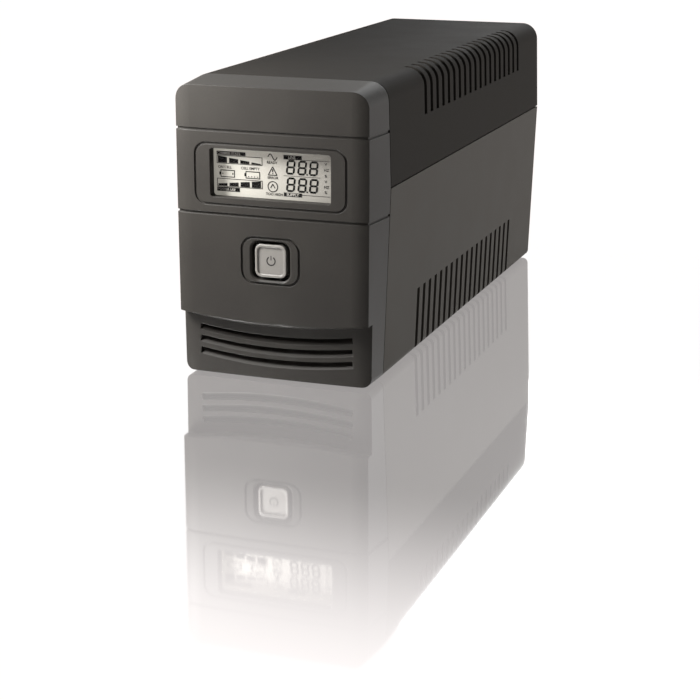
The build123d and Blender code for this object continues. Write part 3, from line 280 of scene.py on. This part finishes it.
FINISHES = {
    "case_black": FRONT_PLASTIC,
    "button_grey": surface("button_plastic", tone(92, 89, 85), tone(100, 97, 92), (0.4, 0.5),
                           grain=2400, height=0.01, bevel=0.4),
    "lens_clear": clear("lens_plastic", tone(14, 14, 15), 0.06, (0.03, 0.07)),
    # painted light: the film's lit left tone, its shaded right tone and the painted glow strength
    "lcd_silver": display_film_painted_light("lcd_film_painted_light", tone(152, 149, 140), tone(104, 101, 95), 0.85),
    "holder_white": surface("holder_plastic", tone(196, 194, 188), tone(206, 204, 198), (0.4, 0.5)),
    "board_green": circuit_board("solder_mask"),
    "screw_steel": surface("screw_zinc", tone(120, 120, 122), tone(168, 168, 170), (0.28, 0.42),
                           grain=2600, metallic=1.0, height=0.008),
    "spring_steel": banded("spring_wire", tone(120, 120, 124), tone(190, 190, 195), (0.2, 0.32), 900,
                           "DIAGONAL", 0.005, metallic=1.0),
    "foot_rubber": surface("foot_rubber", tone(28, 28, 28), tone(40, 40, 39), (0.75, 0.9), grain=900,
                           height=0.05, specular=0.25),
    "socket_black": surface("socket_nylon", tone(30, 30, 31), tone(38, 38, 38), (0.38, 0.5), bevel=0.3),
    "contact_brass": surface("contact_brass", tone(170, 130, 60), tone(205, 168, 92), (0.22, 0.36),
                             metallic=1.0, stretch=(1, 0.1, 1), height=0.006),
    "pin_nickel": surface("pin_nickel", tone(165, 163, 158), tone(205, 203, 198), (0.16, 0.3),
                          metallic=1.0, stretch=(1, 0.1, 1), height=0.006, bevel=0.2),
    "fuse_glass": clear("fuse_glass", tone(210, 225, 220), 0.18, (0.02, 0.05)),
    "jack_grey": surface("jack_plastic", tone(62, 62, 64), tone(72, 72, 74), (0.4, 0.5), bevel=0.25),
    "battery_grey": surface("battery_abs", tone(52, 54, 58), tone(64, 66, 70), (0.5, 0.62), height=0.03),
    "battery_plates": banded("lead_plates", tone(70, 72, 76), tone(110, 112, 116), (0.5, 0.7), 160,
                             "X", 0.2),
    "tab_tin": surface("tab_tin", tone(150, 150, 148), tone(196, 196, 192), (0.25, 0.4), metallic=1.0,
                       stretch=(1, 1, 0.1)),
    "foam_grey": surface("pad_foam", tone(70, 70, 72), tone(104, 104, 106), (0.85, 0.97), grain=700,
                         height=0.3, mottle=200, specular=0.2),
    "core_steel": banded("core_laminations", tone(58, 60, 64), tone(118, 120, 124), (0.35, 0.55), 320,
                         "Y", 0.08, metallic=1.0),
    "bobbin_nylon": surface("bobbin_nylon", tone(196, 188, 164), tone(212, 205, 184), (0.45, 0.58)),
    "winding_copper": banded("winding_copper", tone(96, 38, 16), tone(196, 96, 48), (0.22, 0.4), 420,
                             "Z", 0.15, metallic=1.0),
    "frame_zinc": surface("frame_zinc", tone(140, 142, 144), tone(182, 184, 186), (0.3, 0.5),
                          grain=500, metallic=1.0, mottle=120),
    "sink_aluminium": surface("sink_aluminium", tone(150, 152, 154), tone(196, 198, 200), (0.25, 0.42),
                              metallic=1.0, stretch=(1, 1, 0.06)),
    "package_black": surface("chip_epoxy", tone(24, 24, 25), tone(36, 36, 37), (0.5, 0.68), height=0.02),
    "relay_black": surface("relay_case", tone(26, 34, 62), tone(34, 44, 78), (0.3, 0.42), bevel=0.3),
    "can_sleeve": surface("can_sleeve", tone(30, 34, 58), tone(44, 48, 76), (0.3, 0.45), bevel=0.4),
    "choke_ferrite": surface("choke_ferrite", tone(48, 46, 44), tone(70, 66, 60), (0.6, 0.8), grain=1200,
                             height=0.06),
    "header_white": surface("header_nylon", tone(214, 210, 198), tone(226, 222, 212), (0.4, 0.52)),
    "wire_red": surface("wire_red", tone(130, 22, 20), tone(166, 32, 28), (0.35, 0.5), height=0.02),
    "wire_black": surface("wire_black", tone(22, 22, 23), tone(34, 34, 35), (0.35, 0.5), height=0.02),
    "wire_blue": surface("wire_blue", tone(26, 52, 120), tone(36, 68, 150), (0.35, 0.5), height=0.02),
    "ribbon_grey": banded("ribbon_wires", tone(116, 116, 118), tone(166, 166, 168), (0.45, 0.6), 250,
                          "X", 0.25),
}
NODE_FINISHES = {
    "top_cover": COVER_PLASTIC,
    # painted light: the bottom case and rear panel take the lighter copy of the plastic
    "bottom_case": CASE_PLASTIC_PAINTED_LIGHT,
    "rear_panel": CASE_PLASTIC_PAINTED_LIGHT,
}
SEGMENT_INK = surface("segment_ink", tone(9, 8, 7), tone(14, 13, 11), (0.5, 0.6), specular=0.05, height=0.002)
LEGEND_SILVER = surface("legend_silver", tone(160, 157, 148), tone(172, 168, 160), (0.45, 0.55),
                        height=0.002)
MARK_INK = surface("mark_ink", tone(30, 29, 28), tone(38, 37, 35), (0.5, 0.6), specular=0.1, height=0.004)

for node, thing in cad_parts.items():
    for place in thing.material_slots:
        finish = NODE_FINISHES.get(node, FINISHES[place.name])
        place.link = "OBJECT"
        place.material = finish


# ---------------------------------------------------------------- flat printed shapes

def bar(left, bottom, right, top):
    return [(left, bottom), (right, bottom), (right, top), (left, top)]


def outline_bars(left, bottom, right, top, width):
    """The four sides of an open rectangle."""
    return [bar(left, bottom, right, bottom + width), bar(left, top - width, right, top),
            bar(left, bottom + width, left + width, top - width),
            bar(right - width, bottom + width, right, top - width)]


def stroke(points, width):
    """A line of even width through the points, as one quad for each run."""
    quads = []
    for (u0, v0), (u1, v1) in zip(points, points[1:]):
        run = Vector((u1 - u0, v1 - v0))
        side = Vector((-run.y, run.x)).normalized() * width / 2
        quads.append([(u0 - side.x, v0 - side.y), (u1 - side.x, v1 - side.y),
                      (u1 + side.x, v1 + side.y), (u0 + side.x, v0 + side.y)])
    return quads


def arc_points(centre, radius, start, end, steps=24):
    """Points along an arc, with its angles in degrees from the right, anticlockwise."""
    turns = [math.radians(start + (end - start) * step / steps) for step in range(steps + 1)]
    return [(centre[0] + radius * math.cos(turn), centre[1] + radius * math.sin(turn)) for turn in turns]


def digit(left, bottom, width, height, lean=0.11):
    """The seven segments of a display digit, leaning to the right."""
    thick = 0.95
    gap = 0.06
    middle = height / 2

    def across(level):
        half = thick / 2
        return [(gap, level), (gap + half, level - half), (width - gap - half, level - half),
                (width - gap, level), (width - gap - half, level + half), (gap + half, level + half)]

    def upright(side, low, high):
        half = thick / 2
        return [(side, low + gap), (side + half, low + gap + half), (side + half, high - gap - half),
                (side, high - gap), (side - half, high - gap - half), (side - half, low + gap + half)]

    shapes = [across(0), across(middle), across(height)]
    for side in (0, width):
        shapes.append(upright(side, 0, middle))
        shapes.append(upright(side, middle, height))
    return [[(left + u + lean * v, bottom + v) for u, v in shape] for shape in shapes]


def number(left, bottom, width, height, pitch):
    """Three digits with a decimal point before the last."""
    shapes = []
    for place in range(3):
        shapes += digit(left + place * pitch, bottom, width, height)
    point = left + 2 * pitch - (pitch - width) / 2 - 0.1
    shapes.append(bar(point - 0.35, bottom - 0.4, point + 0.35, bottom + 0.3))
    return shapes


def new_piece(name, data, finish, body):
    """A mesh placed in the scene with its finish, on the body it moves with."""
    data.materials.append(finish)
    piece = bpy.data.objects.new(name, data)
    bpy.context.collection.objects.link(piece)
    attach(piece, body)
    return piece


def plate(name, shapes, origin, thick, finish, body):
    """Flat shapes, in millimetres across and up from origin, standing thick forward of it."""
    mesh = bmesh.new()
    for shape in shapes:
        corners = [mesh.verts.new((origin.x + u * MM, origin.y, origin.z + v * MM)) for u, v in shape]
        mesh.faces.new(corners)
    bmesh.ops.recalc_face_normals(mesh, faces=mesh.faces)
    for face in mesh.faces:
        if face.normal.y > 0:
            face.normal_flip()
    data = bpy.data.meshes.new(name)
    mesh.to_mesh(data)
    mesh.free()
    piece = new_piece(name, data, finish, body)
    solid = piece.modifiers.new("thickness", "SOLIDIFY")
    solid.thickness = thick * MM
    solid.offset = 1.0
    return piece


def lettering(name, words, origin, finish, body):
    """Generic legends, each given as text, left edge, baseline and capital height in millimetres."""
    data = bpy.data.meshes.new(name)
    joined = bmesh.new()
    for text, left, base, height in words:
        curve = bpy.data.curves.new(name + "_text", "FONT")
        curve.body = text
        curve.size = height * MM / CAPITAL_SHARE
        curve.extrude = LETTER_DEPTH * MM
        curve.offset = LETTER_WEIGHT * MM
        writer = bpy.data.objects.new(name + "_text", curve)
        bpy.context.collection.objects.link(writer)
        shape = bpy.data.meshes.new_from_object(writer)
        foot = origin + Vector((left * MM, 0, base * MM))
        shape.transform(Matrix.Translation(foot) @ Matrix.Rotation(math.pi / 2, 4, "X"))
        joined.from_mesh(shape)
        bpy.data.objects.remove(writer)
        bpy.data.curves.remove(curve)
        bpy.data.meshes.remove(shape)
    joined.to_mesh(data)
    joined.free()
    return new_piece(name, data, finish, body)


# ---------------------------------------------------------------- display

def display_segments():
    shapes = [bar(-29.2, 7.4, -14.6, 9.1), bar(-29.2, -9.8, -17.7, -7.8), bar(4.4, 7.1, 13.4, 9.1),
              bar(4.4, -10.2, 13.4, -8.4)]
    shapes += outline_bars(-29.2, 3.3, -6.2, 7.2, 0.28)
    shapes += outline_bars(-29.2, -7.6, -6.2, -3.7, 0.28)
    for place in range(4):
        left = -28.6 + place * 5.65
        fall = 3.2 - place * 0.75
        shapes.append([(left, 3.7), (left + 4.6, 3.7), (left + 4.6, 3.2 + fall), (left, 3.7 + fall)])
        rise = 0.9 + place * 0.62
        shapes.append([(left, -7.2), (left + 4.6, -7.2), (left + 4.6, rise - 6.8), (left, rise - 7.2)])
    for left in (-28.0, -15.3):
        shapes += outline_bars(left + 0.6, -3.1, left + 7.9, 0.4, 0.4)
        shapes.append(bar(left, -2.1, left + 0.6, -0.6))
    shapes += [bar(-21.4, -1.8, -20.9, -0.9), bar(-26.7, -1.55, -25.9, -1.15)]
    shapes += [bar(-13.4 + dot * 1.5, -2.4, -12.9 + dot * 1.5, -1.9) for dot in range(4)]
    wave = [(-3.4 + 4.6 * step / 24, 7.75 + 1.4 * math.sin(math.tau * step / 24)) for step in range(25)]
    shapes += stroke(wave, 0.45)
    shapes += stroke([(-3.3, -0.7), (1.1, -0.7), (-1.1, 3.2), (-3.3, -0.7)], LINE_WIDTH)
    shapes += [bar(-1.35, 0.7, -0.85, 2.1), bar(-1.35, -0.2, -0.85, 0.3)]
    shapes += stroke(arc_points((-1.1, -6.1), 2.4, 0, 360, 40), LINE_WIDTH)
    shapes += stroke([(-2.2, -6.8), (-1.1, -4.9), (0.0, -6.8)], LINE_WIDTH)
    shapes += [bar(13.4, 7.15, 27.2, 7.35), bar(4.4, -0.65, 22.4, -0.45), bar(13.4, -9.2, 27.2, -9.0)]
    shapes += number(5.9, 0.6, 3.4, 5.9, 5.65)
    shapes += number(5.9, -7.5, 3.4, 5.9, 5.65)
    return shapes


lens_low, lens_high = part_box("lcd_lens")
film_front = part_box("lcd_panel")[0].y
middle = (lens_low + lens_high) / 2
ink_plane = Vector((middle.x, film_front - INK_STAND * MM, middle.z))
words_plane = Vector((middle.x, film_front - WORDS_STAND * MM, middle.z))
plate("lcd_segments", display_segments(), ink_plane, INK_STAND, SEGMENT_INK, "case")
lettering("lcd_reversed_legends",
          [("CHARGE STATE", -28.8, 7.7, 1.15), ("POWER USE", -28.8, -9.4, 1.15), ("LINE", 6.6, 7.5, 1.3),
           ("SUPPLY", 5.8, -9.9, 1.3)],
          words_plane, LEGEND_SILVER, "case")
lettering("lcd_legends",
          [("ON CELL", -28.6, 1.1, 1.2), ("CELL EMPTY", -17.0, 1.1, 1.2), ("READY", -4.0, 4.6, 1.2),
           ("ERROR", -3.7, -2.5, 1.2), ("TOO HIGH", -4.6, -10.2, 1.2),
           ("V", 24.6, 5.3, 1.3), ("HZ", 24.2, 2.6, 1.3), ("%", 24.5, -0.1, 1.3),
           ("V", 24.6, -2.7, 1.3), ("HZ", 24.2, -5.3, 1.3), ("%", 24.5, -7.8, 1.3)],
          ink_plane, SEGMENT_INK, "case")


# ---------------------------------------------------------------- power mark

button_low, button_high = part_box("power_button")
mark_plane = Vector(((button_low.x + button_high.x) / 2, button_low.y + DISH_DEPTH * MM,
                     (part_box("button_spring")[0].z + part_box("button_spring")[1].z) / 2))
mark = stroke(arc_points((0, 0), MARK_RADIUS, 122, 418, 36), MARK_WIDTH)
mark.append(bar(-0.21, 0.35, 0.21, 2.55))
plate("power_mark", mark, mark_plane, MARK_THICK, MARK_INK, "button")


# ---------------------------------------------------------------- button spring

def coil(name, low, high, wire, turns, finish, body, steps=24):
    """A round wire wound along Y to fill the box between two corners, in metres."""
    curve = bpy.data.curves.new(name + "_path", "CURVE")
    curve.dimensions = "3D"
    curve.bevel_depth = wire
    curve.bevel_resolution = 3
    curve.use_fill_caps = True
    radius = (high.x - low.x) / 2 - wire
    centre = (low + high) / 2
    count = turns * steps + 1
    path = curve.splines.new("POLY")
    path.points.add(count - 1)
    for step, point in enumerate(path.points):
        angle = math.tau * step / steps
        along = low.y + wire + (high.y - low.y - 2 * wire) * step / (count - 1)
        point.co = (centre.x + radius * math.cos(angle), along, centre.z - radius * math.sin(angle), 1.0)
    winder = bpy.data.objects.new(name + "_path", curve)
    bpy.context.collection.objects.link(winder)
    data = bpy.data.meshes.new_from_object(winder)
    bpy.data.objects.remove(winder)
    bpy.data.curves.remove(curve)
    data.materials.clear()
    for face in data.polygons:
        face.use_smooth = True
    return new_piece(name, data, finish, body)


spring_low, spring_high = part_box("button_spring")
spring_coil = coil("button_spring_coil", spring_low, spring_high, SPRING_WIRE * MM, SPRING_TURNS,
                   FINISHES["spring_steel"], "case")
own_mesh(spring_coil)
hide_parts("button_spring")


# ---------------------------------------------------------------- floor, lights and camera

def lesser(tree, first, second):
    node = tree.nodes.new("ShaderNodeMath")
    node.operation = "MINIMUM"
    tree.links.new(first, node.inputs[0])
    tree.links.new(second, node.inputs[1])
    return node.outputs["Value"]


def fade_outside(tree, value, low, high, mirror):
    """The value of mirror from a third of each (edge, reach) end inwards, and nothing past its reach."""
    falls = []
    for (edge, reach), side in ((low, -1), (high, 1)):
        fall = tree.nodes.new("ShaderNodeMapRange")
        fall.interpolation_type = "SMOOTHSTEP"
        fall.inputs["From Min"].default_value = edge + side * reach
        fall.inputs["From Max"].default_value = edge + side * reach / 3
        fall.inputs["To Max"].default_value = mirror
        tree.links.new(value, fall.inputs["Value"])
        falls.append(fall.outputs["Result"])
    return lesser(tree, *falls)


def floor_material(mirror, reach, near):
    """White card, lit from below, that mirrors the object near its foot and turns matt further away."""
    material, tree, shader = start_material("studio_floor")
    tree.nodes.remove(shader)
    card = add(tree, "ShaderNodeBsdfDiffuse", Color=(0.004, 0.004, 0.004, 1.0))
    lit = add(tree, "ShaderNodeEmission", Color=(1.0, 0.955, 0.945, 1.0), Strength=1.06)
    matt = tree.nodes.new("ShaderNodeAddShader")
    gloss = add(tree, "ShaderNodeBsdfGlossy", Color=WHITE, Roughness=0.04)
    mix = tree.nodes.new("ShaderNodeMixShader")
    split = tree.nodes.new("ShaderNodeSeparateXYZ")
    place = tree.nodes.new("ShaderNodeNewGeometry")
    tree.links.new(place.outputs["Position"], split.inputs["Vector"])
    along = fade_outside(tree, split.outputs["Y"], (cad_low.y, reach), (cad_high.y, near), mirror)
    across = fade_outside(tree, split.outputs["X"], (cad_low.x, near), (cad_high.x, reach), mirror)
    tree.links.new(lesser(tree, along, across), mix.inputs["Fac"])
    tree.links.new(card.outputs["BSDF"], matt.inputs[0])
    tree.links.new(lit.outputs["Emission"], matt.inputs[1])
    tree.links.new(matt.outputs["Shader"], mix.inputs[1])
    tree.links.new(gloss.outputs["BSDF"], mix.inputs[2])
    tree.links.new(mix.outputs["Shader"], tree.nodes["Material Output"].inputs["Surface"])
    return material


def studio_floor(half=3.0, cells=12):
    mesh = bmesh.new()
    bmesh.ops.create_grid(mesh, x_segments=cells, y_segments=cells, size=half)
    data = bpy.data.meshes.new("studio_floor")
    mesh.to_mesh(data)
    mesh.free()
    floor = bpy.data.objects.new("studio_floor", data)
    floor.location.z = cad_low.z - FLOOR_DROP
    bpy.context.collection.objects.link(floor)
    data.materials.append(floor_material(FLOOR_MIRROR, FLOOR_REACH, FLOOR_NEAR))


def softbox(name, place, target, size, power):
    light = bpy.data.lights.new(name, "AREA")
    light.shape = "RECTANGLE"
    light.size, light.size_y = size
    light.energy = power
    lamp = bpy.data.objects.new(name, light)
    lamp.location = place
    lamp.visible_camera = False
    lamp.rotation_euler = (Vector(target) - Vector(place)).to_track_quat("-Z", "Y").to_euler()
    bpy.context.collection.objects.link(lamp)


def studio_world():
    """A white band round the horizon, like the walls of a tent open at the front, under a dim ceiling."""
    world = bpy.data.worlds.new("studio")
    world.use_nodes = True
    tree = world.node_tree
    coordinates = tree.nodes.new("ShaderNodeTexCoord")
    split = tree.nodes.new("ShaderNodeSeparateXYZ")
    levels = tree.nodes.new("ShaderNodeValToRGB")
    ramp = levels.color_ramp
    for element, position in zip(ramp.elements, BAND_EDGES):
        element.position = position
        element.color = BAND_DIM
    for position in BAND_FULL:
        ramp.elements.new(position).color = WHITE
    front = tree.nodes.new("ShaderNodeMapRange")
    front.inputs["From Min"].default_value = FRONT_FADE[0]
    front.inputs["From Max"].default_value = FRONT_FADE[1]
    front.inputs["To Min"].default_value = FRONT_STRENGTH
    tree.links.new(coordinates.outputs["Generated"], split.inputs["Vector"])
    tree.links.new(split.outputs["Z"], levels.inputs["Fac"])
    tree.links.new(split.outputs["Y"], front.inputs["Value"])
    tree.links.new(levels.outputs["Color"], tree.nodes["Background"].inputs["Color"])
    tree.links.new(front.outputs["Result"], tree.nodes["Background"].inputs["Strength"])
    bpy.context.scene.world = world


def camera():
    lens = bpy.data.cameras.new("camera")
    lens.lens = LENS_MM
    lens.sensor_width = 36.0
    lens.shift_y = LENS_SHIFT
    eye = bpy.data.objects.new("camera", lens)
    eye.location = CAMERA_PLACE
    turn = math.radians(CAMERA_TURN)
    tilt = math.radians(CAMERA_TILT)
    forward = Vector((-math.sin(turn) * math.cos(tilt), math.cos(turn) * math.cos(tilt), -math.sin(tilt)))
    eye.rotation_euler = forward.to_track_quat("-Z", "Y").to_euler()
    bpy.context.collection.objects.link(eye)
    bpy.context.scene.camera = eye


studio_floor()
studio_world()
for name, (place, target, size, power) in SOFTBOXES.items():
    softbox(name, place, target, size, power)
camera()
bpy.context.scene.view_settings.view_transform = "Standard"
